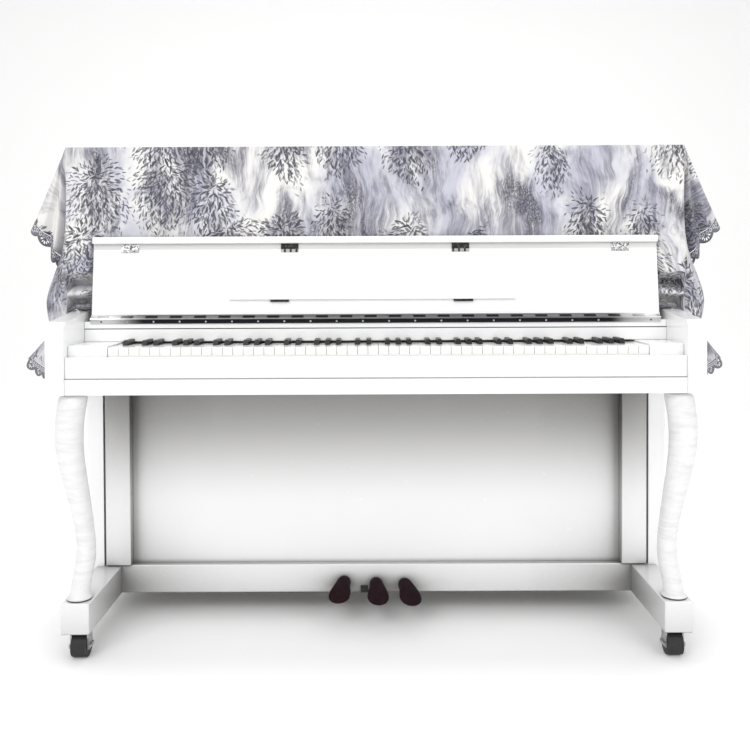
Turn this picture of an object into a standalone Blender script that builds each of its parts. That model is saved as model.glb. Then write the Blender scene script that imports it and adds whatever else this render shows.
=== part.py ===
"""Printed half cover with a scalloped lace edging, draped over a plain upright piano.

Metres, +Z up. The keyboard side faces -Y and +X is to the right seen from there.
The cover is one rectangle of cloth. Each column of its grid hangs from the fold line
round the lid, and keeps its own length as it drops, leans out or buckles.
"""
import bisect
import math

import bmesh
import bpy
from mathutils import Matrix, Vector

GAP = 0.0003             # left between neighbouring pieces

# Case of the piano
SIDE_X = 0.7365          # outer face of the sides and arms
SIDE_T = 0.041
ARM_FRONT = -0.290
CASE_FRONT = -0.018      # front edge of the sides below the keybed
UPPER_FRONT = -0.062     # front of the upper board, behind the cloth
CASE_BACK = 0.285
LID_X = 0.751
LID_FRONT = -0.091
LID_TOP = 1.183
LID_T = 0.028
KEYBED_LOW = 0.603
KEYBED_TOP = 0.638
SLIP_TOP = 0.687
KEY_TOP = 0.708
KEY_FRONT = -0.261
KEY_PITCH = 0.0235
KEY_COUNT = 52
KEYS_SHIFT = 0.006       # the keyboard sits a little right of the middle
RAIL_TOP = 0.7605
FALL_X = 0.680
FALL_LOW = 0.7705
FALL_TOP = 0.962
FALL_T = 0.016
FALL_FOOT = -0.1451      # front face of the raised fallboard at its hinge
FALL_HEAD = -0.121       # and at its top
BOTTOM_LOW = 0.059
BOTTOM_TOP = 0.130
TOE_FRONT = -0.271
WHEEL_R = 0.026

# Cover
CLOTH_T = 0.0012
CORNER_X = 0.755         # fold line at the ends
FRONT_Y = -0.096         # fold line in front
REAR_Y = 0.289
TOP_Z = LID_TOP + GAP + CLOTH_T / 2
SIDE_DROP = 0.235
FRONT_DROP = 0.585
BACK_DROP = 0.075
BACK_LEAN = 0.08         # how far the back drop hangs off the vertical
LACE_W = 0.028
SEAM = 0.0016            # between the cloth's hem and the lace
LACE_T = 0.001
SCALLOP = 0.050          # length of one lobe of the lace
SCALLOP_CUT = 0.011
HOLE_ACROSS = (0.44, 0.56)    # sides of the largest gap of a lobe, as shares of the lobe
HOLE_DOWN = (0.0155, 0.0235)  # and its ends, down from the seam

# Rays of a front corner: degrees round from the front, then how far the cloth has moved
# out and back at each distance down the ray. The front layer tucks in behind the wing.
CORNER_REACH = (0.0, 0.04, 0.12, 0.24, 0.38, 0.46, 0.62)
CORNER_OUT = (
    (0, 0.0, 0.000, 0.000, 0.002, 0.006, 0.008, 0.010),
    (6, 0.0, 0.003, 0.003, 0.012, 0.046, 0.051, 0.056),
    (10, 0.0, 0.005, 0.003, 0.014, 0.059, 0.064, 0.088),
    (16, 0.0, 0.008, 0.003, 0.012, 0.046, 0.058, 0.128),
    (23, 0.0, 0.011, 0.003, 0.010, 0.032, 0.064, 0.172),
    (27, 0.0, 0.012, 0.005, 0.011, 0.030, 0.040, 0.100),
    (31, 0.0, 0.013, 0.005, 0.013, 0.033, 0.050, 0.080),
    (38, 0.0, 0.014, 0.010, 0.025, 0.058, 0.066, 0.066),
    (46, 0.0, 0.015, 0.017, 0.033, 0.052, 0.060, 0.060),
    (52, 0.0, 0.015, 0.025, 0.049, 0.078, 0.090, 0.090),
    (60, 0.0, 0.016, 0.033, 0.066, 0.105, 0.120, 0.120),
    (68, 0.0, 0.017, 0.044, 0.088, 0.139, 0.160, 0.160),
    (78, 0.0, 0.019, 0.057, 0.115, 0.180, 0.200, 0.200),
    (90, 0.0, 0.0167, 0.050, 0.100, 0.158, 0.180, 0.180),
)
CORNER_BACK = (
    (0, 0.0, 0.000, 0.000, 0.000, -0.004, -0.003, 0.000),
    (6, 0.0, 0.003, 0.011, 0.014, 0.008, 0.028, 0.046),
    (10, 0.0, 0.005, 0.020, 0.030, 0.030, 0.058, 0.076),
    (16, 0.0, 0.008, 0.032, 0.054, 0.075, 0.100, 0.122),
    (23, 0.0, 0.010, 0.045, 0.082, 0.110, 0.140, 0.178),
    (27, 0.0, 0.011, 0.051, 0.094, 0.122, 0.153, 0.202),
    (31, 0.0, 0.012, 0.056, 0.104, 0.160, 0.191, 0.250),
    (38, 0.0, 0.013, 0.050, 0.091, 0.144, 0.170, 0.170),
    (46, 0.0, 0.013, 0.035, 0.070, 0.111, 0.130, 0.130),
    (52, 0.0, 0.012, 0.027, 0.053, 0.085, 0.100, 0.100),
    (60, 0.0, 0.013, 0.038, 0.075, 0.119, 0.140, 0.140),
    (68, 0.0, 0.012, 0.027, 0.055, 0.087, 0.100, 0.100),
    (78, 0.0, 0.013, 0.035, 0.070, 0.110, 0.130, 0.130),
    (90, 0.0, 0.0191, 0.057, 0.1145, 0.181, 0.200, 0.200),
)
# Rays of the end drop: distance back from the front corner, slope outwards, backwards
END_RAYS = (
    (0.000, 0.417, 0.477),
    (0.030, 0.380, 0.430),
    (0.060, 0.335, 0.370),
    (0.120, 0.240, 0.240),
    (0.180, 0.155, 0.130),
    (0.240, 0.085, 0.055),
    (0.310, 0.030, 0.012),
    (0.385, 0.000, 0.000),
)
# Folds of the front drop: distance down the cloth, distance forwards
BEHIND_FALLBOARD = (
    (0.000, 0.000), (0.222, 0.000), (0.252, -0.025), (0.300, 0.010), (0.348, -0.031),
    (0.396, 0.014), (0.444, -0.031), (0.492, 0.016), (0.540, -0.030), (0.600, 0.028),
)
OVER_ARM = (
    (0.000, 0.000), (0.200, 0.000), (0.281, 0.030), (0.311, 0.050), (0.396, -0.032),
    (0.462, 0.031), (0.522, -0.027), (0.600, 0.048),
)
ARM_SLANT = 0.10         # the folds over the arm start lower towards its outer side
# Side, size of the wing, size of the low flare, how much lower the arm folds start
ENDS = (
    (-1, 1.00, 1.00, 0.000),
    (1, 1.02, 0.97, 0.003),
)


def paint(name, colour, roughness, metallic=0.0):
    material = bpy.data.materials.new(name)
    material.use_nodes = True
    shader = material.node_tree.nodes["Principled BSDF"]
    shader.inputs["Base Color"].default_value = (*colour, 1.0)
    shader.inputs["Roughness"].default_value = roughness
    shader.inputs["Metallic"].default_value = metallic
    material.diffuse_color = (*colour, 1.0)
    return material


def new_object(name, bm, material):
    bmesh.ops.recalc_face_normals(bm, faces=bm.faces)
    mesh = bpy.data.meshes.new(name)
    bm.to_mesh(mesh)
    bm.free()
    mesh.materials.append(material)
    obj = bpy.data.objects.new(name, mesh)
    bpy.context.scene.collection.objects.link(obj)
    return obj


def add_box(bm, x, y, z):
    made = bmesh.ops.create_cube(bm, size=1.0)["verts"]
    for vert in made:
        vert.co = Vector((
            x[0] if vert.co.x < 0 else x[1],
            y[0] if vert.co.y < 0 else y[1],
            z[0] if vert.co.z < 0 else z[1]))
    return made


def block(name, x, y, z, material, soften=0.0):
    bm = bmesh.new()
    add_box(bm, x, y, z)
    if soften:
        bmesh.ops.bevel(bm, geom=list(bm.edges), offset=soften, segments=1,
                        affect="EDGES", clamp_overlap=True)
    return new_object(name, bm, material)


def mirrored(x, side):
    return (x[0], x[1]) if side > 0 else (-x[1], -x[0])


def extrude_outline(name, outline, span, material, axis="x"):
    """Closed bar: an outline of two coordinates carried along the third from a to b.

    The outline holds (y, z) for axis x, (x, z) for axis y and (x, y) for axis z.
    """
    place = {"x": lambda u, v, w: (w, u, v), "y": lambda u, v, w: (u, w, v),
             "z": lambda u, v, w: (u, v, w)}[axis]
    bm = bmesh.new()
    near = [bm.verts.new(place(u, v, span[0])) for u, v in outline]
    far = [bm.verts.new(place(u, v, span[1])) for u, v in outline]
    bm.faces.new(near)
    bm.faces.new(far[::-1])
    for i in range(len(outline)):
        j = (i + 1) % len(outline)
        bm.faces.new((near[i], near[j], far[j], far[i]))
    return new_object(name, bm, material)


def loft(bm, rings):
    """Closed tube through rings of equal count, capped at both ends."""
    loops = [[bm.verts.new(point) for point in ring] for ring in rings]
    count = len(loops[0])
    for a, b in zip(loops, loops[1:]):
        for i in range(count):
            j = (i + 1) % count
            bm.faces.new((a[i], a[j], b[j], b[i]))
    bm.faces.new(loops[0][::-1])
    bm.faces.new(loops[-1])


def add_cylinder(bm, centre, radius, length, axis, sides):
    turn = {"x": Matrix.Rotation(math.pi / 2, 4, "Y"),
            "y": Matrix.Rotation(math.pi / 2, 4, "X"),
            "z": Matrix.Identity(4)}[axis]
    half = Matrix.Rotation(math.pi / sides, 4, "Z")
    bmesh.ops.create_cone(bm, cap_ends=True, segments=sides, radius1=radius,
                          radius2=radius, depth=length,
                          matrix=Matrix.Translation(centre) @ turn @ half)


def curve(rows, column, at):
    """Smooth value of one column of a table at a value of its first column."""
    keys = [row[0] for row in rows]
    if at <= keys[0]:
        return rows[0][column]
    if at >= keys[-1]:
        return rows[-1][column]
    i = bisect.bisect_right(keys, at) - 1

    def tangent(j):
        a, b = max(j - 1, 0), min(j + 1, len(rows) - 1)
        return (rows[b][column] - rows[a][column]) / (keys[b] - keys[a])

    span = keys[i + 1] - keys[i]
    t = (at - keys[i]) / span
    return ((2 * t**3 - 3 * t**2 + 1) * rows[i][column]
            + (t**3 - 2 * t**2 + t) * span * tangent(i)
            + (3 * t**2 - 2 * t**3) * rows[i + 1][column]
            + (t**3 - t**2) * span * tangent(i + 1))


def straight(rows, at):
    keys = [row[0] for row in rows]
    i = min(max(bisect.bisect_right(keys, at) - 1, 0), len(rows) - 2)
    t = (at - keys[i]) / (keys[i + 1] - keys[i])
    return rows[i][1] + (rows[i + 1][1] - rows[i][1]) * min(max(t, 0.0), 1.0)


def folds(rows, at, radius=0.004):
    """Value of a fold table with each turn rounded off."""
    steps = (-1.0, -0.5, 0.0, 0.5, 1.0)
    return sum(straight(rows, max(at + k * radius, 0.0)) for k in steps) / len(steps)


def ease(a, b, at):
    t = min(max((at - a) / (b - a), 0.0), 1.0)
    return t * t * (3 - 2 * t)


# Piano

LEG_ROWS = (  # height, middle of the leg, width, depth, middle front to back
    (0.1290, 0.6830, 0.0600, 0.058, -0.238),
    (0.1340, 0.6830, 0.0600, 0.058, -0.238),
    (0.1390, 0.6810, 0.0480, 0.050, -0.238),
    (0.1550, 0.6800, 0.0450, 0.048, -0.237),
    (0.1840, 0.6760, 0.0460, 0.048, -0.234),
    (0.2130, 0.6710, 0.0470, 0.048, -0.229),
    (0.2450, 0.6690, 0.0450, 0.047, -0.226),
    (0.2920, 0.6730, 0.0450, 0.047, -0.228),
    (0.3480, 0.6810, 0.0510, 0.052, -0.234),
    (0.4040, 0.6900, 0.0575, 0.058, -0.240),
    (0.4600, 0.6980, 0.0635, 0.063, -0.246),
    (0.5050, 0.7000, 0.0660, 0.065, -0.248),
    (0.5450, 0.6970, 0.0660, 0.066, -0.248),
    (0.5800, 0.6920, 0.0670, 0.066, -0.246),
    (0.6027, 0.6880, 0.0675, 0.066, -0.245),
)
SIDE_OUTLINE = (  # front to back, height
    (CASE_BACK, BOTTOM_LOW), (CASE_FRONT, BOTTOM_LOW), (CASE_FRONT, KEYBED_LOW),
    (ARM_FRONT, KEYBED_LOW), (ARM_FRONT, 0.748), (-0.287, 0.757), (-0.279, 0.764),
    (-0.268, 0.767), (-0.200, 0.774), (-0.120, 0.784), (-0.085, 0.787),
    (-0.070, 0.790), (-0.066, 0.800), (-0.066, LID_TOP - LID_T - GAP),
    (CASE_BACK, LID_TOP - LID_T - GAP),
)


def build_case(white, wood):
    inner = SIDE_X - SIDE_T - GAP
    for side, word in ((-1, "left"), (1, "right")):
        extrude_outline("side_" + word, SIDE_OUTLINE,
                        mirrored((SIDE_X - SIDE_T, SIDE_X), side), white)
        block("pilaster_" + word, mirrored((0.6265, 0.6890), side),
              (CASE_FRONT - 0.006, 0.004), (BOTTOM_TOP + GAP, KEYBED_LOW - GAP), white, 0.002)
        block("toe_block_" + word, mirrored((0.651, 0.715), side),
              (TOE_FRONT, CASE_FRONT - GAP), (0.0577, 0.1287), white, 0.002)
        bm = bmesh.new()
        rings = []
        for z, x, w, d, y in LEG_ROWS:
            rings.append([(side * x + w / 2 * math.cos(a), y + d / 2 * math.sin(a), z)
                          for a in (2 * math.pi * k / 12 for k in range(12))])
        loft(bm, rings)
        new_object("leg_" + word, bm, white)
    lid = block("lid", (-LID_X, LID_X), (LID_FRONT, CASE_BACK), (LID_TOP - LID_T, LID_TOP), white)
    round_top_edges(lid, 0.004)
    high = LID_TOP - LID_T - GAP
    block("upper_board", (-inner, inner), (UPPER_FRONT, UPPER_FRONT + 0.018),
          (KEYBED_TOP + GAP, high), white)
    block("keybed", (-inner, inner), (-0.285, 0.020), (KEYBED_LOW, KEYBED_TOP), white)
    block("lower_panel", (-inner, inner), (0.0043, 0.022),
          (BOTTOM_TOP + GAP, KEYBED_LOW - GAP), white)
    block("bottom_board", (-inner, inner), (CASE_FRONT, CASE_BACK - 0.0533),
          (BOTTOM_LOW, BOTTOM_TOP), white, 0.002)
    rear = (CASE_BACK - 0.044, CASE_BACK)
    posts = ((-inner, -inner + 0.07), (-0.235, -0.165), (0.165, 0.235), (inner - 0.07, inner))
    for number, x in enumerate(posts, 1):
        block("back_post_%d" % number, x, rear, (BOTTOM_TOP + GAP, high - 0.1003), wood)
    block("back_beam_low", (-inner, inner), rear, (BOTTOM_LOW, BOTTOM_TOP), wood)
    block("back_beam_high", (-inner, inner), rear, (high - 0.100, high), wood)
    block("soundboard", (-inner, inner), (CASE_BACK - 0.053, CASE_BACK - 0.0443),
          (BOTTOM_TOP + GAP, high), wood)


def round_top_edges(obj, radius):
    bm = bmesh.new()
    bm.from_mesh(obj.data)
    top = max(v.co.z for v in bm.verts)
    edges = [e for e in bm.edges if all(abs(v.co.z - top) < 1e-6 for v in e.verts)]
    bmesh.ops.bevel(bm, geom=edges, offset=radius, segments=3, affect="EDGES")
    bm.to_mesh(obj.data)
    bm.free()


def build_keyboard(white, ivory, black, steel):
    inner = SIDE_X - SIDE_T - GAP
    block("key_slip", (-inner, inner), (-0.283, -0.2635), (KEYBED_TOP + 0.002, SLIP_TOP),
          white, 0.001)
    block("slip_strip", (-inner, inner), (-0.2825, -0.264), (KEYBED_TOP + GAP, KEYBED_TOP + 0.0017),
          black)
    half = KEY_PITCH * KEY_COUNT / 2
    left, right = KEYS_SHIFT - half, KEYS_SHIFT + half
    block("key_frame", (left, right), (-0.255, -0.070), (KEYBED_TOP + GAP, 0.6857), ivory)
    for word, x in (("left", (-inner, left - 0.001)), ("right", (right + 0.001, inner))):
        block("key_block_" + word, x, (-0.2632, -0.0665), (KEYBED_TOP + GAP, 0.7125), white, 0.0015)
    comb = [(right - 0.0005, 0.686), (left + 0.0005, 0.686), (left + 0.0005, KEY_TOP)]
    for k in range(1, KEY_COUNT):
        x = left + k * KEY_PITCH
        comb += [(x - 0.0005, KEY_TOP), (x - 0.0005, 0.690), (x + 0.0005, 0.690),
                 (x + 0.0005, KEY_TOP)]
    comb.append((right - 0.0005, KEY_TOP))
    extrude_outline("white_keys", comb, (KEY_FRONT, -0.075), ivory, "y")
    bm = bmesh.new()
    for k in range(KEY_COUNT - 1):
        # the row starts at A: a black key follows A, C, D, F and G
        if k % 7 in (0, 2, 3, 5, 6):
            nudge = {0: 0.0015, 2: -0.0015, 3: 0.0015, 5: -0.002, 6: 0.0}[k % 7]
            x = left + (k + 1) * KEY_PITCH + nudge
            made = add_box(bm, (x - 0.006, x + 0.006), (-0.212, -0.1505),
                           (KEY_TOP + GAP, KEY_TOP + 0.012))
            for vert in made:
                if vert.co.z > KEY_TOP + 0.01:
                    vert.co.x = x + (vert.co.x - x) * 0.8
                    if vert.co.y < -0.2:
                        vert.co.y += 0.004
    sharps = new_object("sharps_to_join", bm, black)
    sharps.hide_render = True
    sharps.display_type = "WIRE"
    bar = block("black_keys", (left + 0.01, right - 0.01), (-0.1520, -0.1430),
                (KEY_TOP + 0.0005, KEY_TOP + 0.0040), black)
    join = bar.modifiers.new("join", "BOOLEAN")
    join.operation, join.solver, join.object = "UNION", "EXACT", sharps
    block("hinge_rail", (-inner, inner), (-0.150, -0.0665), (0.7128, RAIL_TOP), white, 0.001)
    # lower leaf on the rail, knuckle, upper leaf on the foot of the leaning fallboard
    knuckle = [(-0.1525 + 0.0036 * math.cos(a), 0.7665 + 0.0036 * math.sin(a))
               for a in (math.radians(d) for d in (60, 90, 135, 180, 225))]
    leaf = [(-0.1503, 0.7555), (-0.1503, 0.7645), (-0.1461, 0.7700), (-0.1452, 0.7725),
            (-0.1447, 0.7765), (-0.1462, 0.7765), (-0.1466, 0.7730)]
    extrude_outline("long_hinge", leaf + knuckle + [(-0.1535, 0.760), (-0.1535, 0.7555)],
                    (-FALL_X, FALL_X), steel)


def build_fallboard(white, steel):
    """The raised fallboard leans back. Its narrow flap is folded down over the front."""
    lean = math.atan2(FALL_HEAD - FALL_FOOT, FALL_TOP - FALL_LOW)
    tip = (Matrix.Translation((0, FALL_FOOT, FALL_LOW)) @ Matrix.Rotation(-lean, 4, "X"))
    tall = (FALL_TOP - FALL_LOW) / math.cos(lean)

    def leaning(name, x, y, z, material, soften=0.0):
        obj = block(name, x, y, z, material, soften)
        obj.data.transform(tip)
        return obj

    leaning("fallboard", (-FALL_X, FALL_X), (0, FALL_T), (0, tall), white, 0.0015)
    leaning("fallboard_flap", (-FALL_X, FALL_X), (-0.0125, -GAP), (tall - 0.0160, tall),
            white, 0.0015)
    for number, x in enumerate((-0.591, -0.206, 0.206, 0.591), 1):
        leaning("flap_hinge_%d" % number, (x - 0.021, x + 0.021), (-0.0023, -GAP),
                (tall - 0.0370, tall - 0.0163), steel)
    desk = [(-0.350, 0.041), (0.336, 0.041), (0.312, 0.085), (-0.325, 0.085)]
    extrude_outline("music_desk", desk, (-0.0075, -GAP), white, "y").data.transform(tip)
    for word, x in (("left", (-0.251, -0.207)), ("right", (0.188, 0.234))):
        leaning("desk_hinge_" + word, x, (-0.0060, -GAP), (0.0355, 0.0407), steel)


def build_feet(steel, rubber, white):
    for side, sword in ((-1, "left"), (1, "right")):
        for y, yword, low in ((-0.245, "front", 0.0577), (0.230, "back", BOTTOM_LOW)):
            x = side * (0.677 if yword == "front" else 0.655)
            arch = [(0.0210, low - GAP), (0.0210, 0.0300), (0.0245, 0.0300), (0.0245, 0.0225),
                    (0.0210, 0.0225), (0.0210, 0.0190), (0.0175, 0.0190), (0.0175, low - 0.0045)]
            arch = arch + [(-u, v) for u, v in reversed(arch)]
            extrude_outline("caster_" + yword + "_" + sword, [(x + u, v) for u, v in arch],
                            (y - 0.014, y + 0.014), steel, "y")
            bm = bmesh.new()
            flat = WHEEL_R / math.cos(math.pi / 20)
            add_cylinder(bm, (x, y, WHEEL_R), flat, 2 * (0.0175 - GAP), "x", 20)
            new_object("wheel_" + yword + "_" + sword, bm, rubber)


def build_pedals(velvet, dark):
    rows = (  # from the tip backwards: middle height, half width, half height
        (-0.118, 0.074, 0.012, 0.006), (-0.113, 0.075, 0.021, 0.010),
        (-0.100, 0.078, 0.028, 0.0145), (-0.080, 0.083, 0.027, 0.018),
        (-0.058, 0.087, 0.020, 0.020), (-0.038, 0.088, 0.0185, 0.020),
        (CASE_FRONT - GAP, 0.086, 0.017, 0.018))
    for word, x, turn, drop in (("left", -0.081, 0.014, 0.0), ("middle", -0.001, -0.007, 0.0045),
                                ("right", 0.071, -0.018, 0.0065)):
        bm = bmesh.new()
        rings = []
        for y, z, w, h in rows:
            swing = turn * (y + 0.02) / 0.1
            rings.append([(x + swing + w * math.cos(a), y, z - drop + h * math.sin(a))
                          for a in (2 * math.pi * k / 12 for k in range(12))])
        loft(bm, rings)
        new_object("pedal_sleeve_" + word, bm, velvet)
    block("pedal_stop", (-0.040, -0.0215), (CASE_FRONT - 0.0063, CASE_FRONT - GAP),
          (0.060, 0.076), dark)


# Cover

def hem_length(zone, at, trim=0.0):
    """Length of a ray from the fold line to a line inside the hem of the flat cloth."""
    front, side, back = FRONT_DROP - trim, SIDE_DROP - trim, BACK_DROP - trim
    if zone == "front":
        return front
    if zone == "end":
        return side
    if zone == "back":
        return back
    a = math.radians(at)
    along, across = max(math.cos(a), 1e-6), max(math.sin(a), 1e-6)
    if zone == "corner":
        return min(front / along, side / across)
    return min(side / along, back / across)


def arm_start(x, end):
    """How much lower than in the table the folds over the arm lie."""
    return end[3] + ARM_SLANT * (x - FALL_X)


def lean_of(zone, at, r, end):
    """Distance out and back, seen from above, of a point r along a ray of the drop."""
    wing, flare = end[1:3]
    if zone == "front" and at < FALL_X:
        return 0.0, -folds(BEHIND_FALLBOARD, r)
    if zone == "front":
        let_go = ease(0.738, CORNER_X, at)
        forwards = (1 - 0.65 * let_go) * folds(OVER_ARM, r - arm_start(at, end))
        out = 0.006 * ease(0.722, 0.738, at) * ease(0.28, 0.37, r)
        return out, -forwards
    if zone == "corner":
        out, back = (curve([(reach, curve(table, i + 1, at))
                            for i, reach in enumerate(CORNER_REACH)], 1, r)
                     for table in (CORNER_OUT, CORNER_BACK))
        out *= 1 + (wing - 1) * ease(46, 90, at)
        out *= 1 + (flare - 1) * ease(0.42, 0.62, r) * (1 - ease(30, 46, at))
        out += 0.006 * (1 - ease(0, 6, at)) * ease(0.28, 0.37, r)
        back -= 0.35 * (1 - ease(0, 10, at)) * folds(OVER_ARM, r - arm_start(CORNER_X, end))
        return out, back
    if zone == "end":
        return curve(END_RAYS, 1, at) * r * wing, curve(END_RAYS, 2, at) * r
    if zone == "rear":
        # one round flute: the ray runs once round a circle while it turns the corner
        turn = math.radians(225 + 4 * at)
        out, back = (r * (0.177 + 0.25 * f(turn)) for f in (math.cos, math.sin))
        return out, back + BACK_LEAN * r * at / 90
    return 0.0, BACK_LEAN * r


def base_of(zone, at):
    if zone == "front":
        return at, FRONT_Y
    if zone == "corner":
        return CORNER_X, FRONT_Y
    if zone == "end":
        return CORNER_X, FRONT_Y + at
    if zone == "rear":
        return CORNER_X, REAR_Y
    return at, REAR_Y


def hang(zone, at, distances, end):
    """Points of one ray: the drop at each distance is what the lean leaves of the length."""
    x0, y0 = base_of(zone, at)
    points, z, r = [], TOP_Z, 0.0
    out, back = lean_of(zone, at, 0.0, end)
    step = 0.0025
    for target in distances:
        while r < target - 1e-9:
            d = min(step, target - r)
            r += d
            new_out, new_back = lean_of(zone, at, r, end)
            plan = math.hypot(new_out - out, new_back - back)
            z -= math.sqrt(max(d * d - plan * plan, (0.22 * d) ** 2))
            out, back = new_out, new_back
        points.append(Vector((end[0] * (x0 + out), y0 + back, z)))
    return points


FRONT_X = (0.0, 0.17, 0.34, 0.50, 0.60, 0.655, 0.678, 0.690, 0.702, 0.714, 0.726, 0.738,
           0.742, 0.746, 0.750)
UPPER_ROWS = (0.045, 0.09, 0.13, 0.18)
CORNER_AT = (0, 2.5, 5, 7.5, 10, 13, 16, 19, 21.5, 23, 25, 28, 31, 34.5, 38, 42, 46, 49, 52, 56, 60,
             64, 68, 73, 78, 83, 87)
END_AT = (0.0, 0.03, 0.06, 0.09, 0.12, 0.16, 0.20, 0.25, 0.31)
REAR_AT = (0, 8, 16, 24, 36, 50, 66, 80)


def column_plan():
    """Zone, place and step between rows of every column, middle front to middle back.

    A step of 0 asks for the rows of a buckled ray.
    """
    plan = [("front", x, 0) for x in FRONT_X]
    plan += [("corner", at, 0 if at < 12 else 0.032) for at in CORNER_AT]
    plan += [("end", y, 0.04) for y in END_AT]
    plan += [("rear", at, 0.03) for at in REAR_AT]
    plan.append(("back", CORNER_X, 0.03))
    plan += [("back", x, 0.03) for x in reversed(FRONT_X)]
    return plan


def row_distances(zone, at, end, length, step):
    """Distances down a ray. A buckled ray has rows at both sides of every turn."""
    rows = list(UPPER_ROWS)
    if step:
        count = max(1, round((length - rows[-1]) / step))
        rows += [rows[-1] + (length - rows[-1]) * k / count for k in range(1, count)]
    else:
        behind = zone == "front" and at < FALL_X
        table = BEHIND_FALLBOARD if behind else OVER_ARM
        lower = 0.0 if behind else arm_start(base_of(zone, at)[0], end)
        turns = [row[0] + lower for row in table[1:-1]]
        rows.append(turns[0])
        for before, turn in zip(turns, turns[1:]):
            rows += [(before + turn) / 2, turn - 0.005, turn + 0.005]
    return [r for r in rows if r < length - 0.01] + [length]


def zip_strip(bm, a, b):
    """Faces between two columns of (distance, vertex), whose counts may differ."""
    i = j = 0
    while i < len(a) - 1 or j < len(b) - 1:
        fa = a[i + 1][0] if i < len(a) - 1 else 9
        fb = b[j + 1][0] if j < len(b) - 1 else 9
        if abs(fa - fb) < 0.004 or (fa < 9 and fb < 9 and i == len(a) - 2 and j == len(b) - 2):
            corners = [a[i][1], a[i + 1][1], b[j + 1][1], b[j][1]]
            i, j = i + 1, j + 1
        elif fa < fb:
            corners = [a[i][1], a[i + 1][1], b[j][1]]
            i += 1
        else:
            corners = [a[i][1], b[j + 1][1], b[j][1]]
            j += 1
        kept = [v for k, v in enumerate(corners) if v is not corners[k - 1]]
        if len(kept) > 2:
            bm.faces.new(kept)


def thicken(bm, thickness):
    """Closed solid of even thickness round an open sheet."""
    bmesh.ops.triangulate(bm, faces=bm.faces)
    bmesh.ops.recalc_face_normals(bm, faces=bm.faces)
    bm.normal_update()
    sheet_faces = list(bm.faces)
    sheet_verts = list(bm.verts)
    rim = [e for e in bm.edges if len(e.link_faces) == 1]
    twin = {}
    for vert in sheet_verts:
        # keep the full thickness at a sharp fold without letting the corner run away
        shell = min(vert.calc_shell_factor(), 1.35)
        step = vert.normal * (thickness / 2 * shell)
        twin[vert] = (vert.co - step, vert.co + step)
    inner = {vert: bm.verts.new(pair[0]) for vert, pair in twin.items()}
    for vert, pair in twin.items():
        vert.co = pair[1]
    for face in sheet_faces:
        bm.faces.new([inner[v] for v in reversed(face.verts)])
    for edge in rim:
        loop = edge.link_loops[0]
        v, w = loop.vert, loop.link_loop_next.vert
        bm.faces.new((w, v, inner[v], inner[w]))
    bmesh.ops.triangulate(bm, faces=bm.faces)


def build_cover(cloth, lace):
    bm = bmesh.new()
    plan = column_plan()
    xs = sorted({side * x for side in (-1, 1) for x in FRONT_X + (CORNER_X,)})
    ys = [FRONT_Y + y for y in END_AT] + [REAR_Y]
    top = {(x, y): bm.verts.new((x, y, TOP_Z)) for x in xs for y in ys}
    for x0, x1 in zip(xs, xs[1:]):
        for y0, y1 in zip(ys, ys[1:]):
            bm.faces.new((top[x0, y0], top[x1, y0], top[x1, y1], top[x0, y1]))

    columns, hems = {}, {}
    for end in ENDS:
        for index, (zone, at, step) in enumerate(plan):
            x, y = base_of(zone, at)
            if x == 0 and (index, -1) in columns:
                columns[index, end[0]] = columns[index, -1]
                hems[index, end[0]] = hems[index, -1]
                continue
            length = hem_length(zone, at, LACE_W + SEAM)
            rows = row_distances(zone, at, end, length, step)
            points = hang(zone, at, rows, end)
            start = points[-2] if len(points) > 1 else top[end[0] * x, y].co.copy()
            hems[index, end[0]] = (start, points[-1], hem_length(zone, at, LACE_W) - length,
                                   hem_length(zone, at) - length)
            verts = [(0.0, top[end[0] * x, y])]
            verts += [(r, bm.verts.new(p)) for r, p in zip(rows, points)]
            columns[index, end[0]] = verts
        for index in range(len(plan) - 1):
            zip_strip(bm, columns[index, end[0]], columns[index + 1, end[0]])
    thicken(bm, CLOTH_T)
    new_object("cover", bm, cloth)
    build_lace(plan, hems, lace)


def lace_columns(runs, pitch, lobes):
    """Where the strip is crossed by a column: run along it, and 1 or 2 at the sides of a gap."""
    places = [(run, 0) for run in runs[:-1]]
    for n in range(lobes):
        sides = [(n + share) * pitch for share in HOLE_ACROSS]
        free = not any(sides[0] - 0.001 < run < sides[1] + 0.001 for run in runs)
        if free:
            places += [(sides[0], 1), (sides[1], 2)]
        for share in (0.0, 0.2, 0.8) if free else (0.0, 0.2, 0.5, 0.8):
            run = (n + share) * pitch
            if all(abs(run - other) > 0.002 for other in runs):
                places.append((run, 0))
    return sorted(places)


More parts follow.
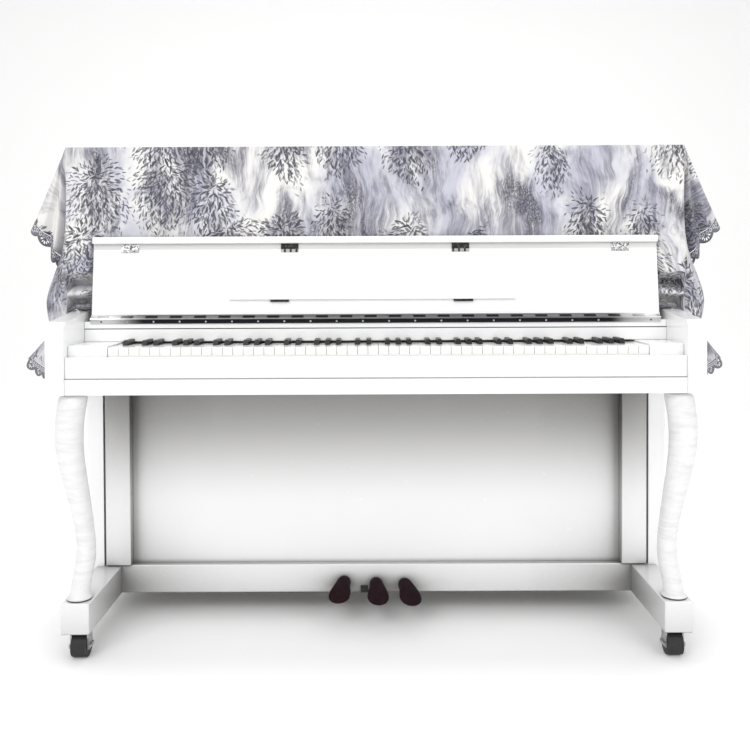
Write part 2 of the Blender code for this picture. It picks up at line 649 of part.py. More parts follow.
def build_lace(plan, hems, lace):
    """Scalloped strip that carries the cloth on past its hem, one ring right round."""
    ring = [(side, i) for side, order in ((-1, range(len(plan) - 1, -1, -1)), (1, range(len(plan))))
            for i in order]
    stations = []
    for side, i in ring:
        before, hem, cut, full = hems[i, side]
        along = (hem - before).normalized()
        points = [hem + along * cut, hem + along * full]
        if not stations or (points[1] - stations[-1][1]).length > 1e-6:
            stations.append(points)
    if (stations[0][1] - stations[-1][1]).length < 1e-6:
        stations.pop()
    runs = [0.0]
    for here, there in zip(stations, stations[1:] + stations[:1]):
        runs.append(runs[-1] + (there[1] - here[1]).length)
    lobes = round(runs[-1] / SCALLOP)
    pitch = runs[-1] / lobes
    bm = bmesh.new()
    columns = []
    for run, gap in lace_columns(runs, pitch, lobes):
        i = bisect.bisect_right(runs, run) - 1
        here, there = stations[i], stations[(i + 1) % len(stations)]
        share = (run - runs[i]) / (runs[i + 1] - runs[i])
        inner, outer = (a.lerp(b, share) for a, b in zip(here, there))
        edge = LACE_W - SCALLOP_CUT * (1 - abs(math.sin(math.pi * run / pitch)) ** 0.7)
        downs = (0.0, *HOLE_DOWN, edge) if gap else (0.0, edge)
        columns.append((gap, [bm.verts.new(inner.lerp(outer, down / LACE_W)) for down in downs]))
    for (gap, a), (_, b) in zip(columns, columns[1:] + columns[:1]):
        if gap == 1:
            bm.faces.new((a[0], a[1], b[1], b[0]))
            bm.faces.new((a[2], a[3], b[3], b[2]))
        else:
            bm.faces.new(a + b[::-1])
    thicken(bm, LACE_T)
    new_object("lace_edging", bm, lace)


def centre_on_floor():
    """Middle of the whole at x = y = 0, lowest point at z = 0."""
    low, high = Vector((9, 9, 9)), Vector((-9, -9, -9))
    for obj in bpy.context.scene.objects:
        for vert in obj.data.vertices:
            low = Vector(map(min, low, vert.co))
            high = Vector(map(max, high, vert.co))
    shift = Vector((-(low.x + high.x) / 2, -(low.y + high.y) / 2, -low.z))
    for obj in bpy.context.scene.objects:
        obj.data.transform(Matrix.Translation(shift))
        obj.data.update()


def main():
    for obj in list(bpy.data.objects):
        bpy.data.objects.remove(obj, do_unlink=True)
    white = paint("white_lacquer", (0.84, 0.84, 0.85), 0.18)
    wood = paint("spruce", (0.62, 0.47, 0.30), 0.6)
    ivory = paint("key_white", (0.86, 0.86, 0.84), 0.25)
    black = paint("key_black", (0.02, 0.02, 0.022), 0.3)
    steel = paint("steel", (0.42, 0.42, 0.43), 0.35, 1.0)
    rubber = paint("wheel_rubber", (0.03, 0.03, 0.03), 0.6)
    velvet = paint("brown_velvet", (0.05, 0.022, 0.018), 0.9)
    cloth = paint("printed_cloth", (0.72, 0.71, 0.74), 0.85)
    lace = paint("lace", (0.45, 0.45, 0.50), 0.9)
    build_case(white, wood)
    build_keyboard(white, ivory, black, steel)
    build_fallboard(white, steel)
    build_feet(steel, rubber, white)
    build_pedals(velvet, black)
    build_cover(cloth, lace)
    centre_on_floor()


main()
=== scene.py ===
"""Printed half cover with a scalloped lace edging, draped over a plain white upright piano.

Metres, +Z up, the keyboard side faces -Y. The cloth is laid out again along the same rays
as the CAD solid, closer together, so that its print and weave follow the flat cloth.
"""

import bisect
import math

import bmesh
import bpy
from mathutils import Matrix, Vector, noise
from mathutils.geometry import delaunay_2d_cdt


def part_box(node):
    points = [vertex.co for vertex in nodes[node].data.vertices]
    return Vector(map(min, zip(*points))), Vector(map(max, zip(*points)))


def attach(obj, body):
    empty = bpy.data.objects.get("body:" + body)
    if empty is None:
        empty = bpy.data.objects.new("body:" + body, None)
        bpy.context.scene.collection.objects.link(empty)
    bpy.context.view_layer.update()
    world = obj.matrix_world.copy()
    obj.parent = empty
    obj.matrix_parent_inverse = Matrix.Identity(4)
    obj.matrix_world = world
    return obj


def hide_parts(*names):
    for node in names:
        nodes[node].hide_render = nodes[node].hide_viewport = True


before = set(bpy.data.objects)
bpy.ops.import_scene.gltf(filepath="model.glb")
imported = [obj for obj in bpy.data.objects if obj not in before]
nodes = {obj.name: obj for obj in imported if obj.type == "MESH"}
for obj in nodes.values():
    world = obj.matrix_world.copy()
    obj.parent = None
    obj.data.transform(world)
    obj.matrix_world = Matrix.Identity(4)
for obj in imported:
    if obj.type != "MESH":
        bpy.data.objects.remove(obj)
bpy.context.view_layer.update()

# Camera, found by fitting the edges of the piano: place from the middle of the part's plan,
# turns in degrees, and lens and shift in pixels of the square photo
IMAGE = 750.0
CAMERA_AT = (-0.0070, -2.1637, 0.8669)
CAMERA_TURN = (90 - 1.0, 0.25, 0.06)
LENS = 843.9
LENS_SHIFT = (3.6, -84.2)

# The part's own plan, as in its CAD source
GAP = 0.0003
LID_X = 0.751
LID_FRONT = -0.091
LID_TOP = 1.183
FALL_X = 0.680
SHIFT = Vector((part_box("lid")[0].x + LID_X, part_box("lid")[0].y - LID_FRONT, 0.0))

# Cover
CLOTH_T = 0.0012
CORNER_X = 0.755         # fold line at the ends
FRONT_Y = -0.096         # fold line in front
REAR_Y = 0.289
TOP_Z = LID_TOP + GAP + CLOTH_T / 2
SIDE_DROP = 0.235
FRONT_DROP = 0.585
BACK_DROP = 0.075
BACK_LEAN = 0.08         # how far the back drop hangs off the vertical
LACE_W = 0.028
SEAM = 0.0016            # between the cloth's hem and the lace
LACE_T = 0.001
SCALLOP = 0.050          # length of one lobe of the lace
SCALLOP_CUT = 0.011
LOBE_STEPS = 14          # parts of a lobe's edge
CORD_R = 0.0008
CORD_SIDES = 5
STITCH_IN = 0.009        # line of stitches, in from the edge of the lace's strip

# Rays of a front corner: degrees round from the front, then how far the cloth has moved
# out and back at each distance down the ray. The front layer tucks in behind the wing.
CORNER_REACH = (0.0, 0.04, 0.12, 0.24, 0.38, 0.46, 0.62)
CORNER_OUT = (
    (0, 0.0, 0.000, 0.000, 0.002, 0.006, 0.008, 0.010),
    (6, 0.0, 0.003, 0.003, 0.012, 0.046, 0.051, 0.056),
    (10, 0.0, 0.005, 0.003, 0.014, 0.059, 0.064, 0.088),
    (16, 0.0, 0.008, 0.003, 0.012, 0.046, 0.058, 0.128),
    (23, 0.0, 0.011, 0.003, 0.010, 0.032, 0.064, 0.172),
    (27, 0.0, 0.012, 0.005, 0.011, 0.030, 0.040, 0.100),
    (31, 0.0, 0.013, 0.005, 0.013, 0.033, 0.050, 0.080),
    (38, 0.0, 0.014, 0.010, 0.025, 0.058, 0.066, 0.066),
    (46, 0.0, 0.015, 0.017, 0.033, 0.052, 0.060, 0.060),
    (52, 0.0, 0.015, 0.025, 0.049, 0.078, 0.090, 0.090),
    (60, 0.0, 0.016, 0.033, 0.066, 0.105, 0.120, 0.120),
    (68, 0.0, 0.017, 0.044, 0.088, 0.139, 0.160, 0.160),
    (78, 0.0, 0.019, 0.057, 0.115, 0.180, 0.200, 0.200),
    (90, 0.0, 0.0167, 0.050, 0.100, 0.158, 0.180, 0.180),
)
CORNER_BACK = (
    (0, 0.0, 0.000, 0.000, 0.000, -0.004, -0.003, 0.000),
    (6, 0.0, 0.003, 0.011, 0.014, 0.008, 0.028, 0.046),
    (10, 0.0, 0.005, 0.020, 0.030, 0.030, 0.058, 0.076),
    (16, 0.0, 0.008, 0.032, 0.054, 0.075, 0.100, 0.122),
    (23, 0.0, 0.010, 0.045, 0.082, 0.110, 0.140, 0.178),
    (27, 0.0, 0.011, 0.051, 0.094, 0.122, 0.153, 0.202),
    (31, 0.0, 0.012, 0.056, 0.104, 0.160, 0.191, 0.250),
    (38, 0.0, 0.013, 0.050, 0.091, 0.144, 0.170, 0.170),
    (46, 0.0, 0.013, 0.035, 0.070, 0.111, 0.130, 0.130),
    (52, 0.0, 0.012, 0.027, 0.053, 0.085, 0.100, 0.100),
    (60, 0.0, 0.013, 0.038, 0.075, 0.119, 0.140, 0.140),
    (68, 0.0, 0.012, 0.027, 0.055, 0.087, 0.100, 0.100),
    (78, 0.0, 0.013, 0.035, 0.070, 0.110, 0.130, 0.130),
    (90, 0.0, 0.0191, 0.057, 0.1145, 0.181, 0.200, 0.200),
)
# Rays of the end drop: distance back from the front corner, slope outwards, backwards
END_RAYS = (
    (0.000, 0.417, 0.477),
    (0.030, 0.380, 0.430),
    (0.060, 0.335, 0.370),
    (0.120, 0.240, 0.240),
    (0.180, 0.155, 0.130),
    (0.240, 0.085, 0.055),
    (0.310, 0.030, 0.012),
    (0.385, 0.000, 0.000),
)
# Folds of the front drop: distance down the cloth, distance forwards
BEHIND_FALLBOARD = (
    (0.000, 0.000), (0.222, 0.000), (0.252, -0.025), (0.300, 0.010), (0.348, -0.031),
    (0.396, 0.014), (0.444, -0.031), (0.492, 0.016), (0.540, -0.030), (0.600, 0.028),
)
OVER_ARM = (
    (0.000, 0.000), (0.200, 0.000), (0.281, 0.030), (0.311, 0.050), (0.396, -0.032),
    (0.462, 0.031), (0.522, -0.027), (0.600, 0.048),
)
ARM_SLANT = 0.10         # the folds over the arm start lower towards its outer side
FOLD_AT_CORNER = 0.35    # how much of them is left at the corner
BULGE = 0.006            # how far the cloth bulges out past the arm
BULGE_X = (0.722, 0.738)  # where that begins and is whole, along the fold line
BULGE_R = (0.28, 0.37)   # and down the cloth
FALL_STEP = 0.0025       # step down a column
LEAST_FALL = 0.22        # share of a step that always goes down
# Side, size of the wing, size of the low flare, how much lower the arm folds start
ENDS = ((-1, 1.00, 1.00, 0.000), (1, 1.02, 0.97, 0.003))


# Small helpers

def curve(rows, column, at):
    """Smooth value of one column of a table at a value of its first column."""
    keys = [row[0] for row in rows]
    if at <= keys[0]:
        return rows[0][column]
    if at >= keys[-1]:
        return rows[-1][column]
    i = bisect.bisect_right(keys, at) - 1

    def tangent(j):
        a, b = max(j - 1, 0), min(j + 1, len(rows) - 1)
        return (rows[b][column] - rows[a][column]) / (keys[b] - keys[a])

    span = keys[i + 1] - keys[i]
    t = (at - keys[i]) / span
    return ((2 * t**3 - 3 * t**2 + 1) * rows[i][column]
            + (t**3 - 2 * t**2 + t) * span * tangent(i)
            + (3 * t**2 - 2 * t**3) * rows[i + 1][column]
            + (t**3 - t**2) * span * tangent(i + 1))


def straight(rows, at):
    """Value of a fold table between two of its turns."""
    keys = [row[0] for row in rows]
    i = min(max(bisect.bisect_right(keys, at) - 1, 0), len(rows) - 2)
    t = (at - keys[i]) / (keys[i + 1] - keys[i])
    return rows[i][1] + (rows[i + 1][1] - rows[i][1]) * min(max(t, 0.0), 1.0)


def folds(rows, at, radius=0.004):
    """Value of a fold table with each turn rounded off."""
    steps = (-1.0, -0.5, 0.0, 0.5, 1.0)
    return sum(straight(rows, max(at + k * radius, 0.0)) for k in steps) / len(steps)


def ease(a, b, at):
    """0 up to a, 1 from b on, smooth between them."""
    t = min(max((at - a) / (b - a), 0.0), 1.0)
    return t * t * (3 - 2 * t)


def mesh_object(name, verts, faces, material, uvs=None):
    mesh = bpy.data.meshes.new(name)
    mesh.from_pydata([tuple(v) for v in verts], [], faces)
    if uvs is not None:
        layer = mesh.uv_layers.new(name="flat")
        for loop in mesh.loops:
            layer.data[loop.index].uv = uvs[loop.vertex_index]
    mesh.materials.append(material)
    mesh.shade_smooth()
    obj = bpy.data.objects.new(name, mesh)
    bpy.context.scene.collection.objects.link(obj)
    return obj


class Shader:
    """A material and short calls that add nodes to it."""

    def __init__(self, name, colour, roughness, metallic=0.0):
        self.material = bpy.data.materials.new(name)
        self.material.use_nodes = True
        self.tree = self.material.node_tree
        self.bsdf = self.tree.nodes["Principled BSDF"]
        self.set("Base Color", (*colour, 1.0))
        self.set("Roughness", roughness)
        self.set("Metallic", metallic)

    def set(self, socket, value):
        if isinstance(value, bpy.types.NodeSocket):
            self.tree.links.new(value, self.bsdf.inputs[socket])
        else:
            self.bsdf.inputs[socket].default_value = value

    def _plug(self, node, index, value):
        if isinstance(value, bpy.types.NodeSocket):
            self.tree.links.new(value, node.inputs[index])
        elif value is not None:
            node.inputs[index].default_value = value

    def math(self, operation, a, b=None, c=None):
        node = self.tree.nodes.new("ShaderNodeMath")
        node.operation = operation
        for i, value in enumerate((a, b, c)):
            self._plug(node, i, value)
        return node.outputs[0]

    def length(self, a, b):
        return self.math("SQRT", self.math("ADD", self.math("MULTIPLY", a, a),
                                           self.math("MULTIPLY", b, b)))

    def apart(self, a, b):
        return self.math("ABSOLUTE", self.math("SUBTRACT", a, b))

    def minus(self, a, b):
        """Difference of two vectors."""
        node = self.tree.nodes.new("ShaderNodeVectorMath")
        node.operation = "SUBTRACT"
        self._plug(node, 0, a)
        self._plug(node, 1, b)
        return node.outputs[0]

    def coordinates(self):
        return self.tree.nodes.new("ShaderNodeTexCoord").outputs["Object"]

    def uv(self):
        node = self.tree.nodes.new("ShaderNodeUVMap")
        node.uv_map = "flat"
        return node.outputs[0]

    def split(self, vector):
        node = self.tree.nodes.new("ShaderNodeSeparateXYZ")
        self._plug(node, 0, vector)
        return node.outputs

    def join(self, x, y, z=0.0):
        node = self.tree.nodes.new("ShaderNodeCombineXYZ")
        for i, value in enumerate((x, y, z)):
            self._plug(node, i, value)
        return node.outputs[0]

    def place(self, vector, scale=(1, 1, 1), turn=(0, 0, 0), move=(0, 0, 0)):
        node = self.tree.nodes.new("ShaderNodeMapping")
        self._plug(node, 0, vector)
        self._plug(node, 1, move)
        self._plug(node, 2, turn)
        self._plug(node, 3, scale)
        return node.outputs[0]

    def noise(self, vector, scale, detail=3.0, rough=0.55, distortion=0.0):
        node = self.tree.nodes.new("ShaderNodeTexNoise")
        self._plug(node, 0, vector)
        node.inputs["Scale"].default_value = scale
        node.inputs["Detail"].default_value = detail
        node.inputs["Roughness"].default_value = rough
        node.inputs["Distortion"].default_value = distortion
        return node.outputs["Fac"]

    def cells(self, vector, scale, jitter):
        node = self.tree.nodes.new("ShaderNodeTexVoronoi")
        node.voronoi_dimensions = "2D"
        self._plug(node, 0, vector)
        node.inputs["Scale"].default_value = scale
        node.inputs["Randomness"].default_value = jitter
        return node.outputs

    def band(self, value, low, high):
        """0 below low, 1 above high, smooth between them; low may lie above high."""
        node = self.tree.nodes.new("ShaderNodeMapRange")
        node.interpolation_type = "SMOOTHSTEP"
        self._plug(node, 0, value)
        if low < high:
            ends = (low, high, 0.0, 1.0)
        else:
            ends = (high, low, 1.0, 0.0)
        for i, end in enumerate(ends, 1):
            node.inputs[i].default_value = end
        return node.outputs[0]

    def mix(self, fac, a, b):
        node = self.tree.nodes.new("ShaderNodeMix")
        node.data_type = "RGBA"
        self._plug(node, 0, fac)
        for index, value in ((6, a), (7, b)):
            self._plug(node, index, value if isinstance(value, bpy.types.NodeSocket)
                       else (*value, 1.0))
        return node.outputs[2]

    def bump(self, height, strength, distance):
        """Lay one more relief over those that the material has already."""
        node = self.tree.nodes.new("ShaderNodeBump")
        node.inputs["Strength"].default_value = strength
        node.inputs["Distance"].default_value = distance
        self._plug(node, node.inputs.find("Height"), height)
        before = self.bsdf.inputs["Normal"].links
        if before:
            self.tree.links.new(before[0].from_socket, node.inputs["Normal"])
        self.tree.links.new(node.outputs[0], self.bsdf.inputs["Normal"])


# Camera

def make_camera():
    data = bpy.data.cameras.new("camera")
    camera = bpy.data.objects.new("camera", data)
    bpy.context.scene.collection.objects.link(camera)
    bpy.context.scene.camera = camera
    data.sensor_width = 36.0
    data.lens = LENS / IMAGE * data.sensor_width
    data.shift_x, data.shift_y = (shift / IMAGE for shift in LENS_SHIFT)
    data.clip_end = 60.0
    camera.location = SHIFT + Vector(CAMERA_AT)
    camera.rotation_euler = [math.radians(turn) for turn in CAMERA_TURN]


# Materials

WHITE = (0.86, 0.86, 0.865)
# painted light: the rail's white, lighter than WHITE, stands in for light on its front
PAINTED_LIGHT_RAIL_WHITE = (0.95, 0.95, 0.955)
BLACK = (0.02, 0.02, 0.02)


def polish(s, rough, coat, coat_rough):
    """Clear coat and fine unevenness of a lacquered board."""
    where = s.coordinates()
    s.set("Roughness", s.math("MULTIPLY_ADD", s.noise(where, 40.0, 3.0), 0.1, rough))
    s.set("Coat Weight", coat)
    s.set("Coat Roughness", coat_rough)
    s.bump(s.noise(where, 90.0, 2.0), 0.03, 0.001)


def make_lacquer(name="lacquer", colour=WHITE):
    s = Shader(name, colour, 0.2)
    cloud = s.noise(s.coordinates(), 3.0, 4.0)
    s.set("Base Color", s.mix(s.band(cloud, 0.35, 0.7), colour,
                              tuple(c * 0.975 for c in colour)))
    polish(s, 0.15, 0.35, 0.08)
    return s.material


def make_low_lacquer():
    """Lacquer of the boards below the keybed, painted greyer all over as shade, and darker still
    with painted shade in hollows and close under the keybed.
    """
    s = Shader("low_lacquer_painted_shade", (0.80, 0.80, 0.80), 0.25)
    # painted shade: ambient occlusion darkens the colour in hollows and corners
    painted_occlusion = s.tree.nodes.new("ShaderNodeAmbientOcclusion")
    painted_occlusion.samples = 24
    painted_occlusion.inputs["Distance"].default_value = 0.35
    free = s.band(painted_occlusion.outputs["AO"], 0.26, 0.80)
    where = s.coordinates()
    pale = s.mix(s.noise(where, 2.5, 3.0), (0.83, 0.83, 0.835), (0.78, 0.78, 0.78))
    # painted shade: a darker copy for the top, close under the keybed, and a paler one for lower
    # down
    high = s.mix(free, (0.08, 0.079, 0.075), (0.40, 0.397, 0.385))
    low = s.mix(free, (0.17, 0.168, 0.16), pale)
    # painted shade: the top copy from z 0.54 up, the lower one from z 0.27 down
    s.set("Base Color", s.mix(s.band(s.split(where)[2], 0.54, 0.27), high, low))
    polish(s, 0.2, 0.2, 0.03)
    return s.material


def make_rail():
    """Lacquer of the hinge rail, painted lighter than the other white as light, with a painted
    black line of shade along the thin open gap across its front, over a groove of bump.
    """
    s = Shader("rail_lacquer_painted_light_and_shade", PAINTED_LIGHT_RAIL_WHITE, 0.25)
    where = s.coordinates()
    joint_z = 0.7432
    # painted shade: black along the open gap at joint_z, where shade falls
    joint_groove_and_shade = s.band(s.apart(s.split(where)[2], joint_z), 0.0015, 0.0008)
    s.set("Base Color", s.mix(joint_groove_and_shade, PAINTED_LIGHT_RAIL_WHITE, BLACK))
    s.set("Roughness", s.math("MULTIPLY_ADD", s.noise(where, 40.0, 3.0), 0.1, 0.2))
    s.bump(s.math("SUBTRACT", 1.0, joint_groove_and_shade), 0.4, 0.001)
    return s.material


def make_fallboard():
    """Lacquer of the fallboard, with a band of painted shade, greyer, close under its flap."""
    s = Shader("fallboard_lacquer_painted_shade", WHITE, 0.2)
    z = s.split(s.coordinates())[2]
    # painted shade: greyer from z 0.930 to 0.950, under the flap
    under = s.math("MULTIPLY", s.band(z, 0.9300, 0.9345), s.band(z, 0.9500, 0.9470))
    s.set("Base Color", s.mix(under, WHITE, (0.60, 0.60, 0.59)))
    polish(s, 0.15, 0.35, 0.08)
    return s.material


def make_wrapped():
    """Lacquer under a thin clear wrapping film, with faint creases round the leg: a bump, and
    painted shade darker along them.
    """
    s = Shader("wrapped_lacquer", (0.76, 0.76, 0.765), 0.28)
    where = s.coordinates()
    creases = s.noise(s.place(where, (14, 14, 75), (0.25, 0.12, 0)), 1.0, 5.0, 0.6, 0.8)
    # painted shade: the colour darkens along the creases
    s.set("Base Color", s.mix(s.band(creases, 0.4, 0.75), (0.78, 0.78, 0.785),
                              (0.68, 0.68, 0.69)))
    s.set("Roughness", s.math("MULTIPLY_ADD", creases, 0.25, 0.2))
    s.bump(creases, 0.35, 0.004)
    return s.material


def make_steel():
    s = Shader("caster_steel", (0.40, 0.40, 0.41), 0.38, 1.0)
    grain = s.noise(s.place(s.coordinates(), (8, 400, 400)), 1.0, 3.0)
    s.set("Roughness", s.math("MULTIPLY_ADD", grain, 0.22, 0.28))
    s.bump(grain, 0.1, 0.0005)
    return s.material


def make_hinge():
    """Long hinge: painted reflection near its ends, lighter there, with marks on its upper leaf and
    screws on its lower.
    """
    s = Shader("hinge_steel", (0.42, 0.42, 0.43), 0.35, 1.0)
    where = s.coordinates()
    x, _, z = s.split(where)
    mark_half_pitch, mark_shift = 0.0291, 5.712
    screw_half_pitch, screw_shift, screw_z = 0.0312, 5.019, 0.7602
    row = s.math("MULTIPLY", s.band(z, 0.7682, 0.7690), s.band(z, 0.7742, 0.7734))
    to_mark = s.math("PINGPONG", s.math("ADD", x, mark_shift), mark_half_pitch)
    mark = s.math("MULTIPLY", s.band(to_mark, 0.0160, 0.0130), row)
    to_screw = s.math("PINGPONG", s.math("ADD", x, screw_shift), screw_half_pitch)
    head = s.band(s.length(to_screw, s.math("SUBTRACT", z, screw_z)), 0.0026, 0.0018)
    # painted reflection: the leaves turn lighter near both ends of the hinge, where the marks fade
    # and the screw heads darken
    place = s.math("ADD", x, s.math("MULTIPLY", s.noise(where, 3.0), 0.2))
    painted_glint = s.math("MAXIMUM", s.band(place, -0.42, -0.52), s.band(place, 0.66, 0.76))
    lower = s.mix(painted_glint, (0.022, 0.022, 0.026), (0.62, 0.62, 0.62))
    upper = s.mix(painted_glint, (0.17, 0.17, 0.175), (0.70, 0.70, 0.70))
    plate = s.mix(s.band(z, 0.7648, 0.7660), lower, upper)
    plate = s.mix(s.math("MULTIPLY", mark, s.math("MULTIPLY_ADD", painted_glint, -0.75, 1.0)),
                  plate, BLACK)
    s.set("Base Color", s.mix(head, plate, s.mix(painted_glint, (0.55, 0.55, 0.57), (0.03, 0.03, 0.03))))
    s.set("Roughness", s.math("MULTIPLY_ADD", s.noise(where, 120.0), 0.2, 0.28))
    s.bump(s.math("SUBTRACT", 1.0, mark), 0.5, 0.001)
    return s.material


def make_small_hinge():
    """Dark hinge plate over a row of three paler knuckles; the plates of the two outer hinges carry
    a painted reflection, lighter.
    """
    s = Shader("bronzed_steel", (0.05, 0.047, 0.045), 0.45, 1.0)
    where = s.coordinates()
    x, _, z = s.split(where)
    knuckle_half_pitch, knuckle_shift = 0.0070, 5.0025
    row = s.math("MULTIPLY", s.band(z, 0.9335, 0.9320), s.band(z, 0.90, 0.91))
    to_gap = s.math("PINGPONG", s.math("ADD", x, knuckle_shift), knuckle_half_pitch)
    knuckle = s.math("MULTIPLY", row, s.band(to_gap, 0.0018, 0.0034))
    worn = s.noise(where, 260.0, 3.0)
    plate = s.mix(s.band(worn, 0.5, 0.7), (0.030, 0.029, 0.028), (0.12, 0.115, 0.11))
    # painted reflection: lighter plates on the hinges beyond x 0.45 either side
    painted_glint_plate = s.mix(s.band(worn, 0.44, 0.50), (0.10, 0.10, 0.10), (0.72, 0.72, 0.72))
    plate = s.mix(s.band(s.math("ABSOLUTE", x), 0.44, 0.46), plate, painted_glint_plate)
    s.set("Base Color", s.mix(knuckle, plate, (0.40, 0.40, 0.39)))
    s.set("Roughness", s.math("MULTIPLY_ADD", worn, 0.3, 0.35))
    s.bump(knuckle, 0.5, 0.001)
    return s.material


def make_keys():
    s = Shader("ivory_keys", (0.86, 0.86, 0.83), 0.22)
    where = s.coordinates()
    tone = s.noise(s.place(where, (42.5, 2, 2)), 1.0, 1.0)
    s.set("Base Color", s.mix(tone, (0.88, 0.88, 0.86), (0.83, 0.83, 0.80)))
    s.set("Roughness", s.math("MULTIPLY_ADD", s.noise(where, 60.0), 0.12, 0.16))
    s.set("Coat Weight", 0.3)
    s.bump(s.noise(where, 150.0), 0.02, 0.0005)
    return s.material


def make_ebony():
    s = Shader("ebony_keys", (0.012, 0.012, 0.013), 0.3)
    s.set("Specular IOR Level", 0.22)
    grain = s.noise(s.place(s.coordinates(), (500, 25, 500)), 1.0, 3.0)
    s.set("Base Color", s.mix(grain, (0.010, 0.010, 0.011), (0.025, 0.024, 0.024)))
    s.set("Roughness", s.math("MULTIPLY_ADD", grain, 0.2, 0.22))
    s.bump(grain, 0.05, 0.0004)
    return s.material


def make_rubber():
    s = Shader("caster_rubber", (0.02, 0.02, 0.021), 0.55)
    s.set("Specular IOR Level", 0.25)
    speck = s.noise(s.coordinates(), 300.0, 4.0)
    s.set("Base Color", s.mix(speck, (0.014, 0.014, 0.015), (0.045, 0.044, 0.043)))
    s.set("Roughness", s.math("MULTIPLY_ADD", speck, 0.3, 0.4))
    s.bump(speck, 0.15, 0.0006)
    return s.material


def make_spruce():
    s = Shader("spruce_boards", (0.62, 0.47, 0.30), 0.55)
    where = s.place(s.coordinates(), (60, 60, 2.2))
    grain = s.noise(where, 1.0, 5.0, 0.6, 0.4)
    rings = s.math("PINGPONG", s.math("MULTIPLY", grain, 9.0), 1.0)
    s.set("Base Color", s.mix(rings, (0.60, 0.44, 0.27), (0.72, 0.57, 0.39)))
    s.set("Roughness", s.math("MULTIPLY_ADD", grain, 0.2, 0.45))
    s.bump(rings, 0.08, 0.0006)
    return s.material


def make_velvet():
    s = Shader("pedal_velvet", (0.05, 0.022, 0.018), 0.95)
    where = s.coordinates()
    nap = s.noise(where, 45.0, 4.0, 0.65)
    s.set("Base Color", s.mix(nap, (0.006, 0.0028, 0.004), (0.028, 0.013, 0.018)))
    s.set("Specular IOR Level", 0.1)
    s.set("Sheen Weight", 0.06)
    s.set("Sheen Roughness", 0.4)
    s.set("Sheen Tint", (0.45, 0.28, 0.25, 1.0))
    s.bump(s.noise(where, 900.0, 3.0), 0.5, 0.0008)
    s.bump(nap, 0.5, 0.004)
    return s.material


# Print of the cover
PAPER = (0.80, 0.79, 0.77)
PALE_INK = (0.53, 0.53, 0.61)
MID_INK = (0.165, 0.16, 0.215)
DARK_INK = (0.055, 0.053, 0.072)
SPRAY_SCALE = 6.5        # sprays a metre
SPRAY_REACH = 0.062
YARN = 0.0009            # two threads of the weave

# Leaves a metre, half length and half width of a leaf, share of the reach, and a small shift
LEAF_LAYERS = (
    (50.0, 0.0120, 0.0036, 0.9, (0.0013, 0.0021, 0.0)),
    (60.0, 0.0105, 0.0030, 1.0, (0.0000, 0.0000, 0.0)),
    (76.0, 0.0085, 0.0023, 1.2, (0.0031, 0.0047, 0.0)),
    (95.0, 0.0070, 0.0018, 1.3, (0.0052, 0.0011, 0.0)),
)


def leaf_layer(s, ground, flat, fine, scale, length, width, reach, move):
    """Almond leaves, one in each small cell, that point away from the heart of their spray."""
    here = s.place(flat, move=move)
    leaf = s.cells(here, scale, 0.85)
    spray = s.cells(leaf["Position"], SPRAY_SCALE, 0.9)
    ax, ay = s.split(s.minus(leaf["Position"], spray["Position"]))[:2]
    away = s.length(ax, s.math("MULTIPLY", ay, 0.62))
    turn = s.math("MULTIPLY_ADD", s.split(leaf["Color"])[0], 1.5, -0.75)
    angle = s.math("ADD", s.math("ARCTAN2", s.math("SUBTRACT", ay, 0.05), ax), turn)
    cos, sin = s.math("COSINE", angle), s.math("SINE", angle)
    dx, dy = s.split(s.minus(here, leaf["Position"]))[:2]
    along = s.math("ADD", s.math("MULTIPLY", dx, cos), s.math("MULTIPLY", dy, sin))
    across = s.math("SUBTRACT", s.math("MULTIPLY", dy, cos), s.math("MULTIPLY", dx, sin))
    tip = s.math("DIVIDE", along, length)
    blade = s.math("SUBTRACT", s.math("SUBTRACT", 1.0, s.math("MULTIPLY", tip, tip)),
                   s.math("DIVIDE", s.math("ABSOLUTE", across), width))
    blade = s.band(s.math("ADD", blade, s.math("MULTIPLY_ADD", fine, 0.5, -0.25)), 0.0, 0.3)
    size = s.math("MULTIPLY_ADD", s.split(spray["Color"])[1], 0.8, 0.5)
    grown = s.math("DIVIDE", away, s.math("MULTIPLY", size, reach * SPRAY_REACH))
    grown = s.math("ADD", grown, s.math("MULTIPLY_ADD", s.split(leaf["Color"])[1], 0.7, -0.35))
    shown = s.math("MULTIPLY", blade, s.band(grown, 1.05, 0.85))
    shown = s.math("MULTIPLY", shown, s.band(s.split(spray["Color"])[0], 0.22, 0.26))
    depth = s.math("MULTIPLY_ADD", s.split(leaf["Color"])[2], 0.5, 0.45)
    return s.mix(s.math("MULTIPLY", shown, depth), ground, DARK_INK)


